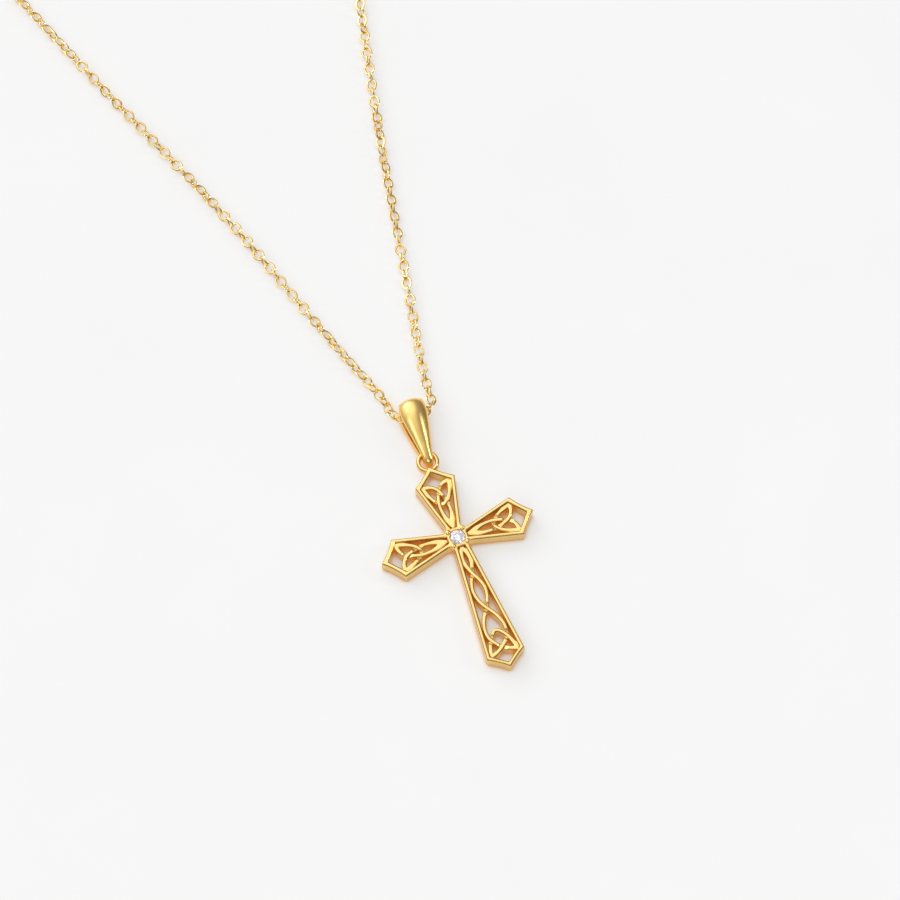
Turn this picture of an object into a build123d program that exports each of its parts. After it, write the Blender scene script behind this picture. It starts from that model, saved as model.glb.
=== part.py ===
from build123d import *
import math
import os

# A gold cross with pierced knotwork, lying on its back, its tapered bail and its chain.
# Millimetres. The origin is on the surface it lies on, below the middle of the stone.
# +X is the wearer's left arm of the cross, +Y the way to the bail, +Z the face.

# The cross's frame
cross_thickness = 1.7
shoulder_reach = 6.25
shoulder_half_width = 2.08
arm_point = 1.75
foot_shoulder_reach = 13.05
foot_half_width = 1.95
foot_point = 1.4
root_length = 0.43
end_hollow = 0.1
foot_end_hollow = 0.06
rail_width = 0.38
end_rail_width = 0.42
foot_end_rail_width = 0.34
rail_chamfer = 0.09
hub_wall = 0.14
hub_shoulder = 0.12
hub_corner = 0.2
hub_web = 0.12

# The knotwork
knot_top = 1.52
knot_bottom = 0.12
strand_width = 0.38
strand_round = 0.1
weave_depth = 0.18
weave_length = 1.2

# The stone and its four beads
stone_diameter = 1.5
stone_table = 0.86
stone_crown = 0.27
stone_girdle = 0.05
stone_pavilion = 0.65
stone_rise = 0.12
stone_clearance = 0.03
bead_diameter = 0.58
bead_gap = 0.03
bead_centre_depth = 0.1

# The ring on the top point
ring_outer_diameter = 2.3
ring_inner_diameter = 1.5
ring_height = 0.95
ring_bottom = 0.46
ring_round = 0.18
ring_sink = 0.5
ring_shift = 0.15

# The bail
bail_length = 7.1
bail_half_width = 1.375
bail_height = 3.2
bail_tilt = 3.6
bail_tip_depth = 0.45
bail_tip_shift = 0.1
bail_crown = 0.7
bail_belly = 0.12

# The chain and its clasp
chain_width = 1.15
clasp_ring_diameter = 5.5
clasp_wire = 1.2
clasp_eye_diameter = 1.9
clasp_eye_wire = 0.5
clasp_eye_sink = 0.25
clasp_lever = 1.3
clasp_lever_turn = -35
clasp_gap = 0.2

# One half of a short arm's knot: the strand from the hub to a far corner, and half of the cross arc.
# Columns: along, as a share of shoulder_reach; across, as a share of shoulder_half_width;
# width, as a share of strand_width.
SHORT_STRAND = [
    (0.176, 0.000, 0.80),
    (0.256, 0.062, 1.35),
    (0.328, 0.125, 1.50),
    (0.416, 0.192, 1.18),
    (0.512, 0.221, 1.00),
    (0.624, 0.212, 1.00),
    (0.736, 0.130, 1.00),
    (0.856, -0.010, 1.00),
    (0.936, -0.264, 1.05),
    (0.963, -0.529, 1.25),
    (0.970, -0.740, 1.10),
]
SHORT_ARC = [
    (0.968, 0.735, 1.10),
    (0.896, 0.639, 1.40),
    (0.800, 0.519, 1.12),
    (0.688, 0.317, 1.00),
    (0.619, 0.000, 1.00),
]
# Where the strands cross. Columns: along, across, and the strand that dips under the other.
SHORT_CROSSINGS = [
    (0.858, 0.000, "left"),
    (0.658, -0.196, "arc"),
    (0.658, 0.196, "right"),
]

# The long arm's plait and knot, as shares of foot_shoulder_reach, foot_half_width and strand_width.
FOOT_STRAND = [
    (0.084, 0.000, 0.80),
    (0.123, 0.128, 1.25),
    (0.184, 0.205, 1.30),
    (0.249, 0.133, 1.15),
    (0.307, 0.000, 1.00),
    (0.368, -0.190, 1.00),
    (0.452, -0.323, 1.00),
    (0.529, -0.236, 1.00),
    (0.603, 0.000, 1.00),
    (0.644, 0.185, 1.00),
    (0.701, 0.390, 1.00),
    (0.766, 0.513, 1.00),
    (0.835, 0.482, 1.00),
    (0.885, 0.308, 1.00),
    (0.931, 0.020, 1.00),
    (0.960, -0.267, 1.05),
    (0.976, -0.538, 1.20),
    (0.984, -0.744, 1.10),
]
FOOT_ARC = [
    (0.982, 0.744, 1.10),
    (0.927, 0.615, 1.20),
    (0.873, 0.487, 1.00),
    (0.831, 0.308, 1.00),
    (0.795, 0.000, 1.00),
]
FOOT_CROSSINGS = [
    (0.307, 0.000, "left"),
    (0.603, 0.000, "right"),
    (0.854, 0.426, "arc"),
    (0.854, -0.426, "left"),
    (0.933, 0.000, "right"),
]

# The bail's cross-sections from its tip to its top. Columns: along, as a share of bail_length;
# width, as a share of bail_half_width; low and high edge, as shares of bail_height.
BAIL_SECTIONS = [
    (0.000, 0.26, 0.200, 0.420),
    (0.045, 0.34, 0.075, 0.550),
    (0.150, 0.42, 0.015, 0.640),
    (0.330, 0.60, 0.000, 0.755),
    (0.520, 0.80, 0.000, 0.880),
    (0.700, 0.96, 0.000, 0.980),
    (0.800, 1.00, 0.010, 0.998),
    (0.900, 0.98, 0.070, 0.960),
    (0.960, 0.94, 0.190, 0.865),
    (1.000, 0.88, 0.385, 0.660),
]
# The hollow's cross-sections: along, as a share of bail_length, low and high edge as before.
BAIL_HOLLOW = [
    (0.060, 0.200, 0.430),
    (0.150, 0.120, 0.558),
    (0.330, 0.104, 0.650),
    (0.520, 0.104, 0.775),
    (0.700, 0.104, 0.880),
    (0.800, 0.115, 0.890),
    (0.880, 0.165, 0.845),
    (0.945, 0.330, 0.700),
]

# The chain's centreline as it lies: down the left side, through the bail, up the right side.
# Columns: across, along from the top of the bail, height.
CHAIN_ROUTE = [
    (-3.8, 204.3, 0.6),
    (-17.0, 200.5, 0.6),
    (-30.0, 188.7, 0.6),
    (-39.0, 166.2, 0.6),
    (-38.6, 138.2, 0.6),
    (-32.0, 101.7, 0.6),
    (-24.8, 68.1, 0.6),
    (-16.5, 44.9, 0.6),
    (-9.2, 25.9, 0.6),
    (-5.5, 13.5, 0.6),
    (-2.8, 5.1, 0.6),
    (-1.35, 1.1, 0.75),
    (-1.45, -1.5, 1.15),
    (2.85, -1.7, 1.15),
    (3.0, 0.9, 0.75),
    (3.6, 4.7, 0.6),
    (5.3, 12.7, 0.6),
    (7.75, 25.6, 0.6),
    (11.6, 42.6, 0.6),
    (17.7, 65.2, 0.6),
    (25.8, 98.2, 0.6),
    (32.4, 133.2, 0.6),
    (32.2, 162.7, 0.6),
    (24.6, 186.7, 0.6),
    (14.2, 198.9, 0.6),
    (5.2, 204.0, 0.6),
]

LEFT_TURN = 90
HALF_TURN = 180
FULL_TURN = 360
SHORT_ARM_TURNS = (0, LEFT_TURN, -LEFT_TURN)
STONE_SIDES = 8
STAR_SHARE = 0.5
LOWER_FACET_SHARE = 0.25
BEAD_TURNS = (45, 135, 225, 315)
HOLLOW_OVERLAP = 1.1
HOLLOW_REACH = 2
ARC_SHARE = 0.45

# Places that follow from the sizes above
arm_reach = shoulder_reach + arm_point
foot_reach = foot_shoulder_reach + foot_point
hub_half_width = stone_diameter / 2 + stone_clearance + hub_wall
root_half_width = hub_half_width - hub_shoulder
root_reach = hub_half_width + root_length
bead_reach = stone_diameter / 2 + bead_gap + bead_diameter / 2
ring_centre = arm_reach + ring_outer_diameter / 2 - ring_sink
girdle_top = cross_thickness + stone_rise - stone_crown
girdle_bottom = girdle_top - stone_girdle
belly_radius = (bail_half_width**2 + bail_belly**2) / (2 * bail_belly)
bail_tip = ring_centre - bail_tip_depth
bail_top = bail_tip + bail_length


def arm_outline(reach, shoulder, half_width, hollow):
    """One arm of the cross seen from above, pointing along +Y, with its end slightly hollowed."""
    corner = (half_width, shoulder)
    tip = (0, reach)
    middle = (half_width / 2, (shoulder + reach) / 2)
    end_length = math.dist(corner, tip)
    inward = ((reach - shoulder) / end_length, half_width / end_length)
    dip = (middle[0] - hollow * inward[0], middle[1] - hollow * inward[1])
    right_end = ThreePointArc(corner, dip, tip)
    left_end = ThreePointArc(tip, (-dip[0], dip[1]), (-half_width, shoulder))
    sides = Polyline((-half_width, shoulder), (-root_half_width, root_reach), (-root_half_width, 0),
                     (root_half_width, 0), (root_half_width, root_reach), corner)
    return make_face(Wire([right_end, left_end, *sides.edges()]))


def arm_opening(reach, shoulder, half_width, end_width):
    """The open field inside one arm's frame."""
    slope = (half_width - root_half_width) / (shoulder - root_reach)
    side_inset = rail_width * math.hypot(1, slope)
    end_slope = (reach - shoulder) / half_width
    tip = reach - end_width * math.hypot(1, end_slope)
    start = hub_half_width + hub_web
    start_half = root_half_width + slope * (start - root_reach) - side_inset
    axis_half = root_half_width - slope * root_reach - side_inset
    corner_along = (tip - end_slope * axis_half) / (1 + end_slope * slope)
    corner_across = axis_half + slope * corner_along
    return make_face(Polyline((start_half, start), (corner_across, corner_along), (0, tip),
                              (-corner_across, corner_along), (-start_half, start), close=True))


def placed(table, along_size, across_size):
    """A strand table as points along +Y, with a width at each."""
    return [(across * across_size, along * along_size, width * strand_width)
            for along, across, width in table]


def mirrored(points):
    return [(-across, along, width) for across, along, width in points]


def ribbon(points):
    """A flat band through the points, as wide at each as it says."""
    left = []
    right = []
    last = len(points) - 1
    for index, (x, y, width) in enumerate(points):
        before = points[max(index - 1, 0)]
        after = points[min(index + 1, last)]
        run = math.dist(before[:2], after[:2])
        side = ((before[1] - after[1]) / run * width / 2, (after[0] - before[0]) / run * width / 2)
        left.append((x + side[0], y + side[1]))
        right.append((x - side[0], y - side[1]))
    return make_face(Wire([Spline(*left), Line(left[-1], right[-1]), Spline(*reversed(right)),
                           Line(right[0], left[0])]))


def knot_strands(strand, arc):
    """The three ribbons of a knot: the strand, its mirror image and the arc across."""
    whole_arc = arc + mirrored(arc[:-1])[::-1]
    return {"left": ribbon(mirrored(strand)), "right": ribbon(strand), "arc": ribbon(whole_arc)}


def band(face):
    """A ribbon raised to a strand with rounded upper edges."""
    solid = Pos(0, 0, knot_bottom) * extrude(face, knot_top - knot_bottom)
    rims = solid.faces().sort_by(Axis.Z)[-1].edges().filter_by(GeomType.LINE, reverse=True)
    return fillet(rims, strand_round)


def knot(strand, arc, crossings):
    """Knotwork along +Y: strands of one height, each scooped down where it runs under another."""
    bands = {name: band(face) for name, face in knot_strands(strand, arc).items()}
    scoop_radius = (weave_length**2 / 4 + weave_depth**2) / (2 * weave_depth)
    for across, along, under in crossings:
        bands[under] -= Pos(across, along, knot_top - weave_depth + scoop_radius) * Sphere(scoop_radius)
    return bands["left"] + bands["right"] + bands["arc"]


def knot_crossings(table, along_size, across_size):
    return [(across * across_size, along * along_size, under) for along, across, under in table]


def short_knot():
    strand = placed(SHORT_STRAND, shoulder_reach, shoulder_half_width)
    arc = placed(SHORT_ARC, shoulder_reach, shoulder_half_width)
    return knot(strand, arc, knot_crossings(SHORT_CROSSINGS, shoulder_reach, shoulder_half_width))


def foot_knot():
    strand = placed(FOOT_STRAND, foot_shoulder_reach, foot_half_width)
    arc = placed(FOOT_ARC, foot_shoulder_reach, foot_half_width)
    return knot(strand, arc, knot_crossings(FOOT_CROSSINGS, foot_shoulder_reach, foot_half_width))


def frame():
    """The four flared arms and the hub, with the arms' fields cut through."""
    short = arm_outline(arm_reach, shoulder_reach, shoulder_half_width, end_hollow)
    foot = arm_outline(foot_reach, foot_shoulder_reach, foot_half_width, foot_end_hollow)
    short_field = arm_opening(arm_reach, shoulder_reach, shoulder_half_width, end_rail_width + end_hollow)
    foot_field = arm_opening(foot_reach, foot_shoulder_reach, foot_half_width,
                             foot_end_rail_width + foot_end_hollow)
    outline = RectangleRounded(2 * hub_half_width, 2 * hub_half_width, hub_corner)
    for turn in SHORT_ARM_TURNS:
        outline += Rot(0, 0, turn) * short
    outline += Rot(0, 0, HALF_TURN) * foot
    for turn in SHORT_ARM_TURNS:
        outline -= Rot(0, 0, turn) * short_field
    outline -= Rot(0, 0, HALF_TURN) * foot_field
    solid = extrude(outline, cross_thickness)
    rims = solid.faces().sort_by(Axis.Z)[-1].edges() + solid.faces().sort_by(Axis.Z)[0].edges()
    return chamfer(rims, rail_chamfer)


def ring():
    """The ring soldered on the top point, lying in the plane of the cross."""
    washer = Circle(ring_outer_diameter / 2) - Circle(ring_inner_diameter / 2)
    solid = extrude(washer, ring_height)
    rounded = fillet(solid.edges().filter_by(GeomType.CIRCLE), ring_round)
    return Pos(ring_shift, ring_centre, ring_bottom) * rounded


def stone_seat():
    """The pocket in the hub that the stone sits in."""
    radius = stone_diameter / 2 + stone_clearance
    floor = girdle_bottom - stone_clearance
    cone = Cone(stone_clearance, radius, stone_pavilion, align=(Align.CENTER, Align.CENTER, Align.MAX))
    well = Cylinder(radius, cross_thickness, align=(Align.CENTER, Align.CENTER, Align.MIN))
    return Pos(0, 0, floor) * (cone + well)


def cross():
    """The casting: frame, knots, ring and the beads that hold the stone."""
    solid = frame() + ring()
    arm_knot = short_knot()
    for turn in SHORT_ARM_TURNS:
        solid += Rot(0, 0, turn) * arm_knot
    solid += Rot(0, 0, HALF_TURN) * foot_knot()
    solid -= stone_seat()
    bead = Pos(bead_reach, 0, cross_thickness - bead_centre_depth) * Sphere(bead_diameter / 2)
    for turn in BEAD_TURNS:
        solid += Rot(0, 0, turn) * bead
    return solid


def facet(solid, turn, inner, outer):
    """Cuts the stone by the plane through two points, each a distance from the axis and a height."""
    sideways = Vector(cosine(turn), cosine(LEFT_TURN - turn), 0)
    fall = inner[1] - outer[1]
    run = outer[0] - inner[0]
    outward = (sideways * fall + Vector(0, 0, run)).normalized()
    if fall < 0:
        outward = -outward
    plane = Plane(sideways * inner[0] + Vector(0, 0, inner[1]), z_dir=outward)
    return split(solid, bisect_by=plane, keep=Keep.BOTTOM)


def stone():
    """A round brilliant: table, 8 stars, 8 kites, 16 upper and 16 lower girdle facets, 8 pavilion mains."""
    radius = stone_diameter / 2
    table = stone_table / 2
    half_step = FULL_TURN / STONE_SIDES / 2
    quarter_step = half_step / 2
    kite_slope = stone_crown / (radius - table)
    star_tip = table + STAR_SHARE * (radius - table)
    star_tip_height = kite_slope * (radius - star_tip * cosine(half_step))
    lower_tip = radius * LOWER_FACET_SHARE
    lower_tip_depth = stone_pavilion * (1 - lower_tip * cosine(half_step) / radius)
    girdle_flat = radius * cosine(quarter_step)
    solid = Cylinder(radius, stone_crown, align=(Align.CENTER, Align.CENTER, Align.MIN))
    solid += Pos(0, 0, -stone_girdle - stone_pavilion) * Cylinder(
        radius, stone_girdle + stone_pavilion, align=(Align.CENTER, Align.CENTER, Align.MIN))
    for side in range(STONE_SIDES):
        turn = side * 2 * half_step
        solid = facet(solid, turn, (table, stone_crown), (radius, 0))
        solid = facet(solid, turn, (0, -stone_girdle - stone_pavilion), (radius, -stone_girdle))
        solid = facet(solid, turn + half_step, (table * cosine(half_step), stone_crown),
                      (star_tip, star_tip_height))
        for offset in (-quarter_step, quarter_step):
            solid = facet(solid, turn + offset, (star_tip * cosine(quarter_step), star_tip_height),
                          (girdle_flat, 0))
            solid = facet(solid, turn + offset,
                          (lower_tip * cosine(quarter_step), -stone_girdle - lower_tip_depth),
                          (girdle_flat, -stone_girdle))
    return Pos(0, 0, girdle_top) * solid


def cosine(degrees):
    return math.cos(math.radians(degrees))


def arc_drop(radius, half_width):
    """How far an arc of this radius falls from its crown to its ends."""
    return radius - math.sqrt(radius**2 - half_width**2)


def front_drop(half_width, across):
    """How far the domed front has fallen at a distance from its middle, where the bail is this wide."""
    rise = bail_crown * half_width / bail_half_width
    return arc_drop((half_width**2 + rise**2) / (2 * rise), across)


def bail_section(along, half_width, low, high):
    """The bail cut across: a domed front, straight edges and a slightly rounded back."""
    edge_high = high - front_drop(half_width, half_width)
    edge_low = low + arc_drop(belly_radius, half_width)
    return at_station(along, [
        ThreePointArc((-half_width, edge_high), (0, high), (half_width, edge_high)),
        Line((half_width, edge_high), (half_width, edge_low)),
        ThreePointArc((half_width, edge_low), (0, low), (-half_width, edge_low)),
        Line((-half_width, edge_low), (-half_width, edge_high)),
    ])


def hollow_section(along, half_width, low, high):
    """The bail's hollow cut across: as domed as the front, and open past both sides."""
    side = half_width * HOLLOW_OVERLAP
    edge_high = high - front_drop(half_width, side)
    edge_low = low + arc_drop(belly_radius, side)
    outside = bail_half_width * HOLLOW_REACH
    return at_station(along, [
        ThreePointArc((-side, edge_high), (0, high), (side, edge_high)),
        Polyline((side, edge_high), (outside, edge_high), (outside, edge_low), (side, edge_low)),
        ThreePointArc((side, edge_low), (0, low), (-side, edge_low)),
        Polyline((-side, edge_low), (-outside, edge_low), (-outside, edge_high), (-side, edge_high)),
    ])


def at_station(along, lines):
    """A closed outline drawn across the bail, set upright at a distance from its tip."""
    edges = [edge for line in lines for edge in line.edges()]
    upright = Plane((0, along, 0), x_dir=(1, 0, 0), z_dir=(0, -1, 0))
    return upright * make_face(Wire(edges))


def section_width(share):
    """The bail's half-width at a share of its length, read between the rows of its table."""
    for (start, first, _, _), (end, second, _, _) in zip(BAIL_SECTIONS, BAIL_SECTIONS[1:]):
        if share <= end:
            return bail_half_width * (first + (second - first) * (share - start) / (end - start))
    return bail_half_width * BAIL_SECTIONS[-1][1]


def bail():
    """The tapered bail, hollow from side to side, with its tip closed round the ring's wire."""
    outer = loft([bail_section(along * bail_length, width * bail_half_width, low * bail_height,
                               high * bail_height) for along, width, low, high in BAIL_SECTIONS])
    inner = loft([hollow_section(along * bail_length, section_width(along), low * bail_height,
                                 high * bail_height) for along, low, high in BAIL_HOLLOW])
    return Pos(ring_shift + bail_tip_shift, bail_tip, 0) * Rot(0, 0, -bail_tilt) * (outer - inner)


def route():
    """The chain's points in the row's own place, above the top of the bail."""
    return [Vector(across, bail_top + along, height) for across, along, height in CHAIN_ROUTE]


def clasp_place():
    """The clasp's middle and its direction, from the two ends of the chain's route."""
    start = route()[0]
    end = route()[-1]
    return (start + end) / 2, (end - start).normalized()


def clasp_half_span():
    return clasp_ring_diameter / 2 + clasp_eye_diameter - clasp_eye_sink


def chain():
    """The chain's envelope: straight runs joined by tangent arcs, from one clasp eye to the other."""
    middle, direction = clasp_place()
    reach = direction * (clasp_half_span() + clasp_gap)
    points = [middle - reach] + route()[1:-1] + [middle + reach]
    radii = corner_radii(points)
    path = FilletPolyline(*points, radius=radii)
    print("corner radii", [round(radius, 1) for radius in radii], "length", round(path.length, 1))
    start = Plane(points[0], z_dir=points[1] - points[0])
    return sweep(start * Circle(chain_width / 2), path=path)


def corner_radii(points):
    """The largest arc at each corner that leaves a little of both runs straight."""
    radii = []
    for before, corner, after in zip(points, points[1:], points[2:]):
        turn = (corner - before).get_angle(after - corner)
        shorter = min((corner - before).length, (after - corner).length)
        radii.append(ARC_SHARE * shorter / math.tan(math.radians(turn / 2)))
    return radii


def clasp():
    """A plain ring clasp lying flat, with an eye at each end and its lever."""
    middle, direction = clasp_place()
    wire = clasp_wire / 2
    solid = Torus(clasp_ring_diameter / 2 - wire, wire)
    eye_wire = clasp_eye_wire / 2
    eye_place = clasp_half_span() - clasp_eye_diameter / 2
    for side in (-1, 1):
        solid += Pos(side * eye_place, 0, 0) * Torus(clasp_eye_diameter / 2 - eye_wire, eye_wire)
    lever = Cylinder(eye_wire, clasp_lever, align=(Align.CENTER, Align.CENTER, Align.MIN))
    lever = Pos(0, clasp_ring_diameter / 2 - wire, 0) * Rot(-LEFT_TURN, 0, 0) * lever
    solid += Rot(0, 0, clasp_lever_turn) * lever
    heading = math.degrees(math.atan2(direction.Y, direction.X))
    return Pos(middle.X, middle.Y, wire) * Rot(0, 0, heading) * solid


def build():
    os.makedirs("parts", exist_ok=True)
    nodes = {"cross": cross, "stone": stone, "bail": bail, "chain": chain, "clasp": clasp}
    for name, make in nodes.items():
        export_step(make(), f"parts/{name}.step")


build()
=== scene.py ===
"""The looks of a gold cross with pierced knotwork, its bail, stone and cable chain. Metres."""
import math

import bpy
import numpy as np
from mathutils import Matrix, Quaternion, Vector


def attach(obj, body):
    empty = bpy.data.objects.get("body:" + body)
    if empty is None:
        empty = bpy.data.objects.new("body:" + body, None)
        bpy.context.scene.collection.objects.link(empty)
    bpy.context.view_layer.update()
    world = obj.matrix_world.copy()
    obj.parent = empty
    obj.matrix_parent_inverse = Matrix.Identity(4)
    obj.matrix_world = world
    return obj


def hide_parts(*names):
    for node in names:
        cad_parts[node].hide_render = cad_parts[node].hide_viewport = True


MM = 0.001

# The camera: how high it stands over the surface, and how far the cross leans in the picture.
# The sensor's width is in millimetres, as the camera takes it.
VIEW_ELEVATION = math.radians(68.4)
CROSS_LEAN = math.radians(21.1)
CAMERA_DISTANCE = 450 * MM
CAMERA_NEAREST = 10 * MM
CAMERA_FARTHEST = 10.0
PICTURE_WIDTH = 90 * MM
PICTURE_MIDDLE = Vector((2.85, 9.49, 0.0)) * MM
SENSOR_WIDTH = 36

# The middle of the room's bright side, as azimuth and elevation in the picture, in degrees
BRIGHT_SIDE = (-50, 52)
# The room's tones. Columns: cosine of the angle from the bright side, tone.
ROOM_TONES = [
    (0.0, 0.22),
    (0.3, 0.36),
    (0.5, 0.40),
    (0.62, 0.56),
    (0.7, 0.68),
    (0.8, 0.94),
    (0.88, 1.20),
    (1.0, 1.3),
]

# The softboxes, all at one distance. Columns: name, azimuth and elevation in the picture in degrees,
# width, height, radiance, roll in degrees.
SOFTBOX_DISTANCE = 0.60
SOFTBOXES = [
    ("key_box", -48, 32, 0.46, 0.24, 1.35, 0),
    ("right_strip", 87, 32, 0.08, 0.34, 5.0, -14),
    ("left_box", -116, 38, 0.14, 0.20, 1.4, 0),
    ("front_box", 180, 38, 0.50, 0.22, 1.3, 0),
]

# The picture's contrast, on the curve that holds for all three colours. Columns: light, tone.
CONTRAST = [(0.08, 0.055), (0.25, 0.215), (0.5, 0.48), (0.85, 0.86)]
COMBINED_CURVE = 3

# The golds. The tone wanders between deep and bright, and the roughness between polish and satin.
# A recess is a place that other metal within its reach shades. There a painted shade deepens its colour,
# its face is duller, and light is the strength of a painted warm glow that stands in for bounced light.
# Along an edge a painted shade may give a darker colour, and soft_edge is the radius the edge seems to have.
CAST_GOLD = dict(
    deep=(1.0, 0.72, 0.31), bright=(1.0, 0.76, 0.36), polish=0.13, satin=0.2, grain_scale=9000.0, bump=0.03,
    recess_shade=dict(reach=0.8 * MM, recess_shade_colour=(1.0, 0.66, 0.20), recess_roughness=0.45, light=0.03),
    edge_shade=dict(reach=0.18 * MM, edge_shade_colour=(0.58, 0.36, 0.08)), soft_edge=0.15 * MM)
SATIN_GOLD = dict(
    deep=(1.0, 0.68, 0.25), bright=(1.0, 0.72, 0.30), polish=0.22, satin=0.27, grain_scale=12000.0, bump=0.01,
    recess_shade=dict(reach=1.5 * MM, recess_shade_colour=(1.0, 0.68, 0.24), recess_roughness=0.6, light=0.11))
LINK_GOLD = dict(
    deep=(0.90, 0.59, 0.20), bright=(1.0, 0.86, 0.52), polish=0.06, satin=0.12, grain_scale=9000.0, bump=0.02)
EDGE_SAMPLES = 8
SOFT_EDGE_SAMPLES = 6
RECESS_SAMPLES = 6
CLOUDS_TO_GRAIN = 0.12
GRAIN_ROUGHNESS = 0.6
GRAIN_HEIGHT = 0.02 * MM
TONE_START = 0.3
TONE_END = 0.65
GLOSS_START = 0.3
GLOSS_END = 0.7
# How open a place is where the painted recess shade is full, and where it ends,
# and the colour of the painted warm glow in recesses
RECESS_OPEN = (0.35, 0.88)
RECESS_PAINTED_GLOW = (1.0, 0.60, 0.20)
# How much of the painted edge shade shows. Columns: height of the surface's normal, share.
EDGE_SHARES = [(0.0, 0.4), (0.3, 1.0), (0.80, 1.0), (0.96, 0.0)]
# The painted edge shade is left out around the stone, up to the first distance, and whole from the second
HUB_REACH = (1.3 * MM, 1.69 * MM)

# The clear stone. Columns of its tones: place in the clouds, colour.
STONE_TONES = [(0.35, (0.93, 0.92, 1.0)), (0.65, (1.0, 1.0, 1.0))]
STONE_CLOUDS = 1500.0
STONE_ROUGHNESS = 0.01
STONE_REFRACTION = 2.2
STONE_PAINTED_GLOW = (0.92, 0.92, 1.0)
STONE_PAINTED_GLOW_STRENGTH = 0.04

# The floor, which gives off some light itself, so that the openings aren't dark.
# Columns of its tones: place in the clouds, tone.
FLOOR_REACH = 1.5
FLOOR_TONES = [(0.25, 0.52), (0.75, 0.55)]
FLOOR_CLOUDS = 45.0
FLOOR_CLOUDS_ROUGHNESS = 0.62
FLOOR_ROUGHNESS = 0.7
FLOOR_SPECULAR = 0.25
FLOOR_LIGHT = 0.45
FLOOR_BUMP = 0.05
FLOOR_BUMP_HEIGHT = 0.3 * MM
# A painted shadow and the gold's painted warm glow on the floor close by, in its colour and its own light.
# Columns: how open the floor is there, colour.
SHADOW_AND_GLOW_REACH = 0.5 * MM
SHADOW_AND_GLOW_SAMPLES = 8
PAINTED_SHADOW_AND_GLOW_TONES = [(0.4, (0.76, 0.52, 0.34)), (0.66, (0.94, 0.84, 0.76)), (0.93, (1.0, 1.0, 1.0))]

# The bail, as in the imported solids: its place, its sections from tip to top and its hollow
BAIL_TIP = Vector((0.25, 8.2, 0.0)) * MM
BAIL_TILT = math.radians(3.6)
BAIL_LENGTH = 7.1 * MM
BAIL_HALF_WIDTH = 1.375 * MM
BAIL_HEIGHT = 3.2 * MM
BAIL_CROWN = 0.7 * MM
BAIL_BELLY = 0.12 * MM
BAIL_ARCH = 0.35 * MM
BAIL_EDGE_ROUND = 0.07 * MM
BAIL_STEPS = 8
BAIL_ACROSS = 21
BAIL_EDGE_STEPS = 5
BAIL_SMOOTH = 50
# Columns: along, as a share of the length; half-width share; low and high face, as shares of the height;
# low and high wall of the hollow, as shares of the height.
BAIL_SECTIONS = [
    (0.000, 0.27, 0.215, 0.400, 0.300, 0.330),
    (0.045, 0.34, 0.085, 0.540, 0.165, 0.430),
    (0.150, 0.42, 0.015, 0.640, 0.104, 0.558),
    (0.330, 0.60, 0.000, 0.755, 0.104, 0.650),
    (0.520, 0.80, 0.000, 0.880, 0.104, 0.775),
    (0.700, 0.96, 0.000, 0.978, 0.104, 0.880),
    (0.800, 1.00, 0.010, 0.992, 0.115, 0.888),
    (0.900, 0.98, 0.070, 0.958, 0.200, 0.845),
    (0.960, 0.94, 0.190, 0.863, 0.330, 0.730),
    (0.998, 0.88, 0.385, 0.660, 0.450, 0.600),
]
HOLLOW_START = 0.050
HOLLOW_END = 0.945

# The chain's centreline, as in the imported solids: across, along from the top of the bail, height
BAIL_TOP = 15.3 * MM
CHAIN_ROUTE = [
    (-3.8, 204.3, 0.6),
    (-17.0, 200.5, 0.6),
    (-30.0, 188.7, 0.6),
    (-39.0, 166.2, 0.6),
    (-38.6, 138.2, 0.6),
    (-32.0, 101.7, 0.6),
    (-24.8, 68.1, 0.6),
    (-16.5, 44.9, 0.6),
    (-9.2, 25.9, 0.6),
    (-5.5, 13.5, 0.6),
    (-2.8, 5.1, 0.6),
    (-1.35, 1.1, 0.75),
    (-1.45, -1.5, 1.15),
    (2.85, -1.7, 1.15),
    (3.0, 0.9, 0.75),
    (3.6, 4.7, 0.6),
    (5.3, 12.7, 0.6),
    (7.75, 25.6, 0.6),
    (11.6, 42.6, 0.6),
    (17.7, 65.2, 0.6),
    (25.8, 98.2, 0.6),
    (32.4, 133.2, 0.6),
    (32.2, 162.7, 0.6),
    (24.6, 186.7, 0.6),
    (14.2, 198.9, 0.6),
    (5.2, 204.0, 0.6),
]
ROUTE_STEPS = 24
ROUTE_ORDER = 3
CLASP_EYE_REACH = 3.45 * MM
CLASP_EYE_HOLE = 0.45 * MM

# One oval link: its outer length and width, and its wire, which is cut flat on both faces
LINK_LENGTH = 1.41 * MM
LINK_WIDTH = 1.15 * MM
LINK_WIRE = 0.22 * MM
LINK_FLAT = 0.2 * MM
LINK_SEGMENTS = 24
LINK_SMOOTH = 35
LINK_PLAY = 0.03 * MM
LINK_PITCH = LINK_LENGTH - 2 * LINK_WIRE - LINK_PLAY
# How much closer together the joints of links come for each radian that the chain bends
BEND_SLACK = 0.15 * MM
# The chain's twist, as a sum of waves along it. Columns: radians high, radians for each link, start.
TWIST_WAVES = [(0.45, 0.23, 0.8), (0.315, 0.091, 2.1), (0.225, 0.57, 0.0), (0.12, 2.9, 0.4)]
# From each end of the chain, the twist comes in over this many links
TWIST_RUN_IN = 8


def camera():
    back = Vector((-math.sin(CROSS_LEAN) * math.cos(VIEW_ELEVATION),
                   -math.cos(CROSS_LEAN) * math.cos(VIEW_ELEVATION),
                   math.sin(VIEW_ELEVATION)))
    data = bpy.data.cameras.new("camera")
    data.sensor_width = SENSOR_WIDTH
    data.lens = SENSOR_WIDTH * CAMERA_DISTANCE / PICTURE_WIDTH
    data.clip_start = CAMERA_NEAREST
    data.clip_end = CAMERA_FARTHEST
    seen_from = bpy.data.objects.new("camera", data)
    bpy.context.scene.collection.objects.link(seen_from)
    seen_from.location = PICTURE_MIDDLE + back * CAMERA_DISTANCE
    seen_from.rotation_euler = (-back).to_track_quat("-Z", "Y").to_euler()
    bpy.context.scene.camera = seen_from


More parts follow.
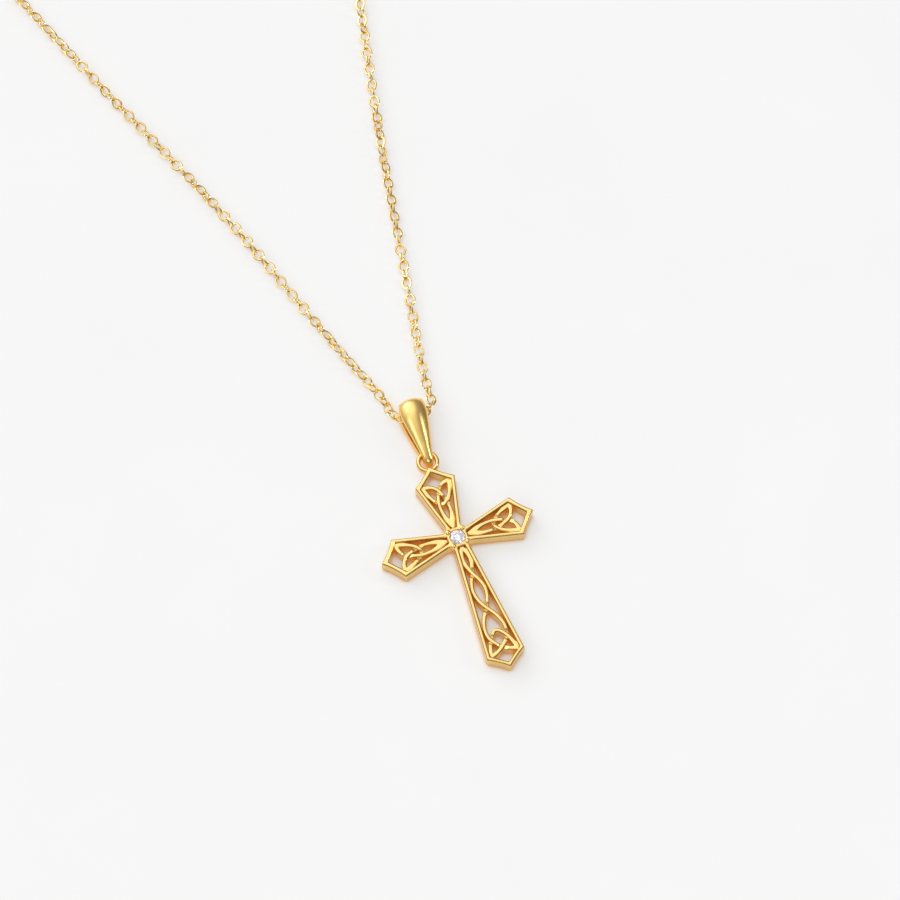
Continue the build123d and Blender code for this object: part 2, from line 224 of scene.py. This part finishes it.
def picture_direction(azimuth, elevation):
    """A direction from angles in degrees: azimuth 0 is the picture's top and 90 its right."""
    turn = math.radians(azimuth) + CROSS_LEAN
    rise = math.radians(elevation)
    return Vector((math.sin(turn) * math.cos(rise), math.cos(turn) * math.cos(rise), math.sin(rise)))


def softbox(name, azimuth, elevation, width, height, radiance, roll):
    data = bpy.data.lights.new(name, "AREA")
    data.shape = "RECTANGLE"
    data.size = width
    data.size_y = height
    data.energy = radiance * math.pi * width * height
    light = bpy.data.objects.new(name, data)
    bpy.context.scene.collection.objects.link(light)
    outward = picture_direction(azimuth, elevation)
    light.location = PICTURE_MIDDLE + outward * SOFTBOX_DISTANCE
    rolled = Quaternion((0, 0, 1), math.radians(roll))
    light.rotation_euler = (outward.to_track_quat("Z", "Y") @ rolled).to_euler()


def node(tree, kind, **settings):
    """A new node. A setting is one of its inputs or else one of its properties."""
    made = tree.nodes.new(kind)
    for name, value in settings.items():
        if name in made.inputs:
            made.inputs[name].default_value = value
        else:
            setattr(made, name, value)
    return made


def put(tree, socket, value):
    """Link the value to the socket where it is another node's output, and else set it there."""
    if isinstance(value, bpy.types.NodeSocket):
        tree.links.new(value, socket)
    else:
        socket.default_value = value


def ramp(tree, value, rows):
    """The value turned into a colour. Each row has a value and its colour or grey tone."""
    made = node(tree, "ShaderNodeValToRGB")
    elements = made.color_ramp.elements
    elements[0].position = rows[0][0]
    elements[-1].position = rows[-1][0]
    for position, _ in rows[1:-1]:
        elements.new(position)
    for element, (_, colour) in zip(elements, rows):
        element.color = (*np.broadcast_to(colour, 3), 1)
    tree.links.new(value, made.inputs[0])
    return made.outputs[0]


def stretched(tree, value, start, end, low=0.0, high=1.0):
    """A number from low, where the value is start, to high, where it is end."""
    made = node(tree, "ShaderNodeMapRange")
    for name, number in (("From Min", start), ("From Max", end), ("To Min", low), ("To Max", high)):
        made.inputs[name].default_value = number
    tree.links.new(value, made.inputs["Value"])
    return made.outputs[0]


def mixed_colours(tree, share, first, second, blend_type="MIX"):
    """Two colours mixed. The node's sockets are told apart by number, as their names are alike."""
    made = node(tree, "ShaderNodeMix", data_type="RGBA", blend_type=blend_type)
    for index, value in ((0, share), (6, first), (7, second)):
        put(tree, made.inputs[index], value)
    return made.outputs[2]


def mixed_numbers(tree, share, first, second):
    """Two numbers mixed, with the sockets told apart in the same way."""
    made = node(tree, "ShaderNodeMix")
    for index, value in ((0, share), (2, first), (3, second)):
        put(tree, made.inputs[index], value)
    return made.outputs[0]


def clouded(tree, place, **settings):
    """Noise over the place, as a number."""
    made = node(tree, "ShaderNodeTexNoise", **settings)
    tree.links.new(place, made.inputs["Vector"])
    return made.outputs["Fac"]


def openness(tree, reach, samples):
    """How open a place is within this reach: 1 where nothing shades it."""
    return node(tree, "ShaderNodeAmbientOcclusion", Distance=reach, samples=samples).outputs["AO"]


def object_place(tree):
    return node(tree, "ShaderNodeTexCoord").outputs["Object"]


def surroundings():
    """A soft studio room: brightest high up behind to the left, and dim low down and in front."""
    world = bpy.data.worlds.new("studio")
    world.use_nodes = True
    tree = world.node_tree
    place = node(tree, "ShaderNodeTexCoord")
    towards = node(tree, "ShaderNodeVectorMath", operation="DOT_PRODUCT")
    towards.inputs[1].default_value = picture_direction(*BRIGHT_SIDE)
    tree.links.new(place.outputs["Generated"], towards.inputs[0])
    tone = ramp(tree, towards.outputs["Value"], ROOM_TONES)
    tree.links.new(tone, tree.nodes["Background"].inputs["Color"])
    bpy.context.scene.world = world


def material(name):
    made = bpy.data.materials.new(name)
    made.use_nodes = True
    return made, made.node_tree, made.node_tree.nodes["Principled BSDF"]


def away_from_stone(tree):
    """A number from 0 around the stone to 1 beyond it, from the distance seen from above."""
    flat = node(tree, "ShaderNodeVectorMath", operation="MULTIPLY")
    flat.inputs[1].default_value = (1, 1, 0)
    distance = node(tree, "ShaderNodeVectorMath", operation="LENGTH")
    tree.links.new(object_place(tree), flat.inputs[0])
    tree.links.new(flat.outputs[0], distance.inputs[0])
    return stretched(tree, distance.outputs["Value"], *HUB_REACH)


def painted_edge_shade(tree, colour, reach, edge_shade_colour):
    """The colour, with a painted shade of the edge's colour where a top turns over into a wall, except around
    the stone.
    """
    # painted shade: a darker colour where the rounded normal turns away from straight up
    turned = node(tree, "ShaderNodeBevel", Radius=reach, samples=EDGE_SAMPLES)
    parts = node(tree, "ShaderNodeSeparateXYZ")
    tree.links.new(turned.outputs["Normal"], parts.inputs[0])
    share = node(tree, "ShaderNodeMath", operation="MULTIPLY")
    tree.links.new(ramp(tree, parts.outputs["Z"], EDGE_SHARES), share.inputs[0])
    tree.links.new(away_from_stone(tree), share.inputs[1])
    return mixed_colours(tree, share.outputs[0], colour, (*edge_shade_colour, 1))


def painted_recess_shade(tree, shader, colour, roughness, reach, recess_shade_colour, recess_roughness, light):
    """The colour and roughness, duller in recesses.
    There a painted shade deepens the colour, and a painted warm glow is given off.
    """
    # painted shade: the colour deepens where other metal shades the place
    shade = openness(tree, reach, RECESS_SAMPLES)
    share = stretched(tree, shade, *RECESS_OPEN)
    # painted warm glow: emission in the recesses, standing in for light bounced between the walls
    tree.links.new(stretched(tree, shade, *RECESS_OPEN, light, 0.0), shader.inputs["Emission Strength"])
    shader.inputs["Emission Color"].default_value = (*RECESS_PAINTED_GLOW, 1)
    return (mixed_colours(tree, share, (*recess_shade_colour, 1), colour),
            mixed_numbers(tree, share, recess_roughness, roughness))


def gold(name, deep, bright, polish, satin, grain_scale, bump, recess_shade=None, edge_shade=None, soft_edge=0.0):
    """Gold whose tone and polish wander a little, with painted shade and glow in recesses,
    painted shade on edges and soft edges if asked.
    """
    made, tree, shader = material(name)
    shader.inputs["Metallic"].default_value = 1.0
    place = object_place(tree)
    clouds = clouded(tree, place, Scale=grain_scale * CLOUDS_TO_GRAIN, Detail=3.0)
    grain = clouded(tree, place, Scale=grain_scale, Detail=4.0, Roughness=GRAIN_ROUGHNESS)
    colour = ramp(tree, clouds, [(TONE_START, deep), (TONE_END, bright)])
    roughness = stretched(tree, grain, GLOSS_START, GLOSS_END, polish, satin)
    if edge_shade:
        colour = painted_edge_shade(tree, colour, **edge_shade)
    if recess_shade:
        colour, roughness = painted_recess_shade(tree, shader, colour, roughness, **recess_shade)
    raised = node(tree, "ShaderNodeBump", Strength=bump, Distance=GRAIN_HEIGHT)
    tree.links.new(grain, raised.inputs["Height"])
    if soft_edge:
        rounded = node(tree, "ShaderNodeBevel", Radius=soft_edge, samples=SOFT_EDGE_SAMPLES)
        tree.links.new(rounded.outputs[0], raised.inputs["Normal"])
    tree.links.new(colour, shader.inputs["Base Color"])
    tree.links.new(roughness, shader.inputs["Roughness"])
    tree.links.new(raised.outputs[0], shader.inputs["Normal"])
    return made


def brilliant():
    """A clear stone with a trace of violet, and a painted glow of its own that stands in for its facets'
    sparkle.
    """
    made, tree, shader = material("clear_brilliant")
    clouds = clouded(tree, object_place(tree), Scale=STONE_CLOUDS, Detail=2.0)
    tree.links.new(ramp(tree, clouds, STONE_TONES), shader.inputs["Base Color"])
    shader.inputs["Roughness"].default_value = STONE_ROUGHNESS
    shader.inputs["IOR"].default_value = STONE_REFRACTION
    shader.inputs["Transmission Weight"].default_value = 1.0
    # painted glow: the stone gives off light of its own though it is no lamp
    shader.inputs["Emission Color"].default_value = (*STONE_PAINTED_GLOW, 1)
    shader.inputs["Emission Strength"].default_value = STONE_PAINTED_GLOW_STRENGTH
    return made


def pale_floor():
    """A matt pale surface, with a painted shadow and the gold's painted warm glow where it is close."""
    made, tree, shader = material("pale_floor")
    place = object_place(tree)
    clouds = clouded(tree, place, Scale=FLOOR_CLOUDS, Detail=5.0, Roughness=FLOOR_CLOUDS_ROUGHNESS)
    # painted shadow and glow: darker and warmer where the gold is close, in colour and in the floor's own
    # light
    painted_shadow_and_glow = ramp(tree, openness(tree, SHADOW_AND_GLOW_REACH, SHADOW_AND_GLOW_SAMPLES), PAINTED_SHADOW_AND_GLOW_TONES)
    lit = mixed_colours(tree, 1.0, painted_shadow_and_glow, ramp(tree, clouds, FLOOR_TONES), "MULTIPLY")
    tree.links.new(lit, shader.inputs["Base Color"])
    tree.links.new(painted_shadow_and_glow, shader.inputs["Emission Color"])
    shader.inputs["Emission Strength"].default_value = FLOOR_LIGHT
    shader.inputs["Roughness"].default_value = FLOOR_ROUGHNESS
    shader.inputs["Specular IOR Level"].default_value = FLOOR_SPECULAR
    raised = node(tree, "ShaderNodeBump", Strength=FLOOR_BUMP, Distance=FLOOR_BUMP_HEIGHT)
    tree.links.new(clouds, raised.inputs["Height"])
    tree.links.new(raised.outputs[0], shader.inputs["Normal"])
    return made


def floor():
    mesh = bpy.data.meshes.new("floor")
    corner_places = [(x * FLOOR_REACH, y * FLOOR_REACH, 0) for x, y in ((-1, -1), (1, -1), (1, 1), (-1, 1))]
    mesh.from_pydata(corner_places, [], [(0, 1, 2, 3)])
    mesh.materials.append(pale_floor())
    made = bpy.data.objects.new("floor", mesh)
    bpy.context.scene.collection.objects.link(made)


def mesh_object(name, points, faces, finish, smooth_angle):
    """A smooth mesh, but sharp at edges over the angle in degrees. All faces have as many corners."""
    mesh = bpy.data.meshes.new(name)
    mesh.vertices.add(len(points))
    mesh.vertices.foreach_set("co", np.asarray(points, np.float32).ravel())
    mesh.loops.add(faces.size)
    mesh.loops.foreach_set("vertex_index", faces.astype(np.int32).ravel())
    mesh.polygons.add(len(faces))
    mesh.polygons.foreach_set("loop_start", np.arange(0, faces.size, faces.shape[1], dtype=np.int32))
    mesh.update(calc_edges=True)
    mesh.validate()
    mesh.polygons.foreach_set("use_smooth", np.ones(len(faces), bool))
    mesh.set_sharp_from_angle(angle=math.radians(smooth_angle))
    mesh.materials.append(finish)
    made = bpy.data.objects.new(name, mesh)
    bpy.context.scene.collection.objects.link(made)
    return made


def grid_faces(rows, columns):
    """Quads over a grid of points that closes on itself both ways."""
    row, column = np.meshgrid(np.arange(rows), np.arange(columns), indexing="ij")
    next_row = (row + 1) % rows
    next_column = (column + 1) % columns
    corner_indexes = (row * columns + column, next_row * columns + column,
                      next_row * columns + next_column, row * columns + next_column)
    return np.stack([index.ravel() for index in corner_indexes], 1)


def closed_curve(points, steps):
    """A smooth closed curve through the points, with steps places from each to the next."""
    points = np.asarray(points, float)
    share = (np.arange(steps) / steps)[:, None]
    runs = []
    for index in range(len(points)):
        before, start, end, after = (points[(index + offset) % len(points)] for offset in (-1, 0, 1, 2))
        runs.append(0.5 * (2 * start + (end - before) * share
                           + (2 * before - 5 * start + 4 * end - after) * share**2
                           + (3 * start - before - 3 * end + after) * share**3))
    return np.concatenate(runs)


def bail_profiles():
    """The bail's outer and inner outlines seen from the side, as closed loops: up its front, down its back.
    Columns: along, height, half-width, and 1 on the front and 0 on the back."""
    outer, inner = [], []
    for rows, front in ((BAIL_SECTIONS, 1.0), (BAIL_SECTIONS[::-1], 0.0)):
        for along, width, low, high, hollow_low, hollow_high in rows:
            hollow_along = HOLLOW_START + (HOLLOW_END - HOLLOW_START) * along
            outer.append((along, high if front else low, width, front))
            inner.append((hollow_along, hollow_high if front else hollow_low, width, front))
    size = np.array([BAIL_LENGTH, BAIL_HEIGHT, BAIL_HALF_WIDTH, 1.0])
    return closed_curve(outer, BAIL_STEPS) * size, closed_curve(inner, BAIL_STEPS) * size


def strap_line(place, inward, across, half_width, front):
    """One line of points round the bail's loop, sunk towards its sides as the face is domed."""
    sideways = (across / half_width)**2 * half_width / BAIL_HALF_WIDTH
    crown = BAIL_BELLY + (BAIL_CROWN - BAIL_BELLY) * np.clip(front, 0, 1)
    drop = np.stack([BAIL_ARCH * sideways, crown * sideways], 1)
    spot = place + inward * drop
    return np.stack([across, spot[:, 0], spot[:, 1]], 1)


def edge_line(start, end, inward, half_width, front, turn, side):
    """One line along the strap's rounded edge, part of the way round from one face to the other."""
    share = (1 - math.cos(turn)) / 2
    place = start[:, :2] * (1 - share) + end[:, :2] * share
    across = side * (half_width - BAIL_EDGE_ROUND * (1 - math.sin(turn)))
    return strap_line(place, inward, across, half_width, front)


def bail(finish):
    """The bail as a folded strap with rounded edges: up the front, over the top and down the back."""
    outer, inner = bail_profiles()
    front = outer[:, 3]
    half_width = outer[:, 2]
    ahead = np.roll(outer[:, :2], -1, 0) - np.roll(outer[:, :2], 1, 0)
    ahead /= np.linalg.norm(ahead, axis=1)[:, None]
    inward = np.stack([ahead[:, 1], -ahead[:, 0]], 1)
    shares_across = np.linspace(-1, 1, BAIL_ACROSS)
    edge_turns = np.linspace(0, math.pi, BAIL_EDGE_STEPS + 2)[1:-1]
    lines = [strap_line(outer[:, :2], inward, share * (half_width - BAIL_EDGE_ROUND), half_width, front)
             for share in shares_across]
    lines += [edge_line(outer, inner, inward, half_width, front, turn, 1) for turn in edge_turns]
    lines += [strap_line(inner[:, :2], inward, -share * (half_width - BAIL_EDGE_ROUND), half_width, front)
              for share in shares_across]
    lines += [edge_line(inner, outer, inward, half_width, front, turn, -1) for turn in edge_turns]
    points = np.stack(lines, 1)
    lean = np.array([[math.cos(BAIL_TILT), -math.sin(BAIL_TILT), 0],
                     [math.sin(BAIL_TILT), math.cos(BAIL_TILT), 0],
                     [0, 0, 1]])
    points = points @ lean + np.array(BAIL_TIP)
    faces_outward = grid_faces(points.shape[0], points.shape[1])[:, ::-1]
    made = mesh_object("bail_strap", points.reshape(-1, 3), faces_outward, finish, BAIL_SMOOTH)
    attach(made, "root")
    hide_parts("bail")


def chain_line():
    """Finely spaced points along the chain's smooth centreline, from one clasp eye to the other."""
    points = [Vector((across * MM, BAIL_TOP + along * MM, height * MM))
              for across, along, height in CHAIN_ROUTE]
    middle = (points[0] + points[-1]) / 2
    direction = (points[-1] - points[0]).normalized()
    reach = CLASP_EYE_REACH + CLASP_EYE_HOLE + LINK_LENGTH / 2 - LINK_WIRE - LINK_PLAY
    points[0] = middle - direction * reach
    points[-1] = middle + direction * reach
    data = bpy.data.curves.new("chain_line", "CURVE")
    data.dimensions = "3D"
    data.resolution_u = ROUTE_STEPS
    spline = data.splines.new("NURBS")
    spline.points.add(len(points) - 1)
    for control, point in zip(spline.points, points):
        control.co = (*point, 1)
    spline.use_endpoint_u = True
    spline.order_u = ROUTE_ORDER
    holder = bpy.data.objects.new("chain_line", data)
    mesh = bpy.data.meshes.new_from_object(holder)
    line = np.array([vertex.co for vertex in mesh.vertices])
    bpy.data.objects.remove(holder)
    bpy.data.curves.remove(data)
    bpy.data.meshes.remove(mesh)
    into_eye = np.array(direction) * LINK_PITCH / 2
    return np.concatenate([[line[0] + into_eye], line, [line[-1] - into_eye]])


def link_joints(line):
    """The places along the line where one link holds the next, for an odd number of links.
    They are evenly spaced, and closer together where the line bends, as links there need more room."""
    steps = np.diff(line, axis=0)
    lengths = np.linalg.norm(steps, axis=1)
    ahead = steps / lengths[:, None]
    turns = np.arccos(np.clip((ahead[1:] * ahead[:-1]).sum(1), -1, 1))
    travelled = np.concatenate([[0], np.cumsum(lengths + BEND_SLACK * np.concatenate([[0], turns]))])
    count = int(round(lengths.sum() / LINK_PITCH))
    count += 1 - count % 2
    distances = np.linspace(0, travelled[-1], count + 1)
    return np.stack([np.interp(distances, travelled, line[:, axis]) for axis in range(3)], 1)


def link_points():
    """One oval link in its own plane: an eight-sided wire, flat on both faces."""
    side = LINK_WIRE / 2
    face = LINK_FLAT / 2
    section = np.array([(side, face / 2), (side / 2, face), (-side / 2, face), (-side, face / 2),
                        (-side, -face / 2), (-side / 2, -face), (side / 2, -face), (side, -face / 2)])
    half_length = (LINK_LENGTH - LINK_WIRE) / 2
    half_width = (LINK_WIDTH - LINK_WIRE) / 2
    turn = np.arange(LINK_SEGMENTS) * 2 * math.pi / LINK_SEGMENTS
    centre = np.stack([half_length * np.cos(turn), half_width * np.sin(turn)], 1)
    outward = np.stack([half_width * np.cos(turn), half_length * np.sin(turn)], 1)
    outward /= np.linalg.norm(outward, axis=1)[:, None]
    flat = centre[:, None] + outward[:, None] * section[None, :, :1]
    height = np.broadcast_to(section[None, :, 1:], (*flat.shape[:2], 1))
    return np.concatenate([flat, height], 2).reshape(-1, 3)


def link_roll(count):
    """How far each link is rolled about the chain, in radians: turn about, with slow twists."""
    index = np.arange(count)
    twist = sum(high * np.sin(index * rate + start) for high, rate, start in TWIST_WAVES)
    run_in = np.clip(np.minimum(index, index[::-1]) / TWIST_RUN_IN, 0, 1)
    return math.pi / 2 * (index % 2 + 1) + run_in * twist


def chain(finish):
    """The links as one mesh. Each spans two joints, is turned a quarter from the last, and holds the next."""
    joints = link_joints(chain_line())
    count = len(joints) - 1
    places = (joints[1:] + joints[:-1]) / 2
    heading = joints[1:] - joints[:-1]
    heading /= np.linalg.norm(heading, axis=1)[:, None]
    up = np.array([0.0, 0.0, 1.0])
    side = np.cross(up, heading)
    side /= np.linalg.norm(side, axis=1)[:, None]
    lift = np.cross(heading, side)
    roll = link_roll(count)[:, None]
    across = side * np.cos(roll) + lift * np.sin(roll)
    face = np.cross(heading, across)
    link = link_points()
    points = (places[:, None] + heading[:, None] * link[None, :, :1] + across[:, None] * link[None, :, 1:2]
              + face[:, None] * link[None, :, 2:])
    quads = grid_faces(LINK_SEGMENTS, len(link) // LINK_SEGMENTS)
    faces = quads[None] + (np.arange(count) * len(link))[:, None, None]
    made = mesh_object("chain_links", points.reshape(-1, 3), faces.reshape(-1, 4), finish, LINK_SMOOTH)
    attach(made, "root")
    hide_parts("chain")


def dress(name, finish):
    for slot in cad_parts[name].material_slots:
        slot.material = finish


def develop():
    """The picture's contrast: deeper darks, as in a photograph for a shop."""
    settings = bpy.context.scene.view_settings
    settings.view_transform = "Standard"
    settings.use_curve_mapping = True
    curve = settings.curve_mapping.curves[COMBINED_CURVE]
    for light, tone in CONTRAST:
        curve.points.new(light, tone)
    settings.curve_mapping.update()


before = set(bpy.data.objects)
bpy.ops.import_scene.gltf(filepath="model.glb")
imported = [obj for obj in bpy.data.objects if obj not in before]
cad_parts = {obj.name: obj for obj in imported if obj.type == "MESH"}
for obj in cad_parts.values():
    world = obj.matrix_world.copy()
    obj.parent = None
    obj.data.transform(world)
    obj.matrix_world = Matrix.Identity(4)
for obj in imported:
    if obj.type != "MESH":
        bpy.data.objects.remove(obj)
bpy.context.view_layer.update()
camera()
for box_row in SOFTBOXES:
    softbox(*box_row)
surroundings()
floor()
link_gold = gold("link_gold", **LINK_GOLD)
dress("cross", gold("cast_gold", **CAST_GOLD))
dress("stone", brilliant())
dress("clasp", link_gold)
bail(gold("satin_gold", **SATIN_GOLD))
chain(link_gold)
develop()
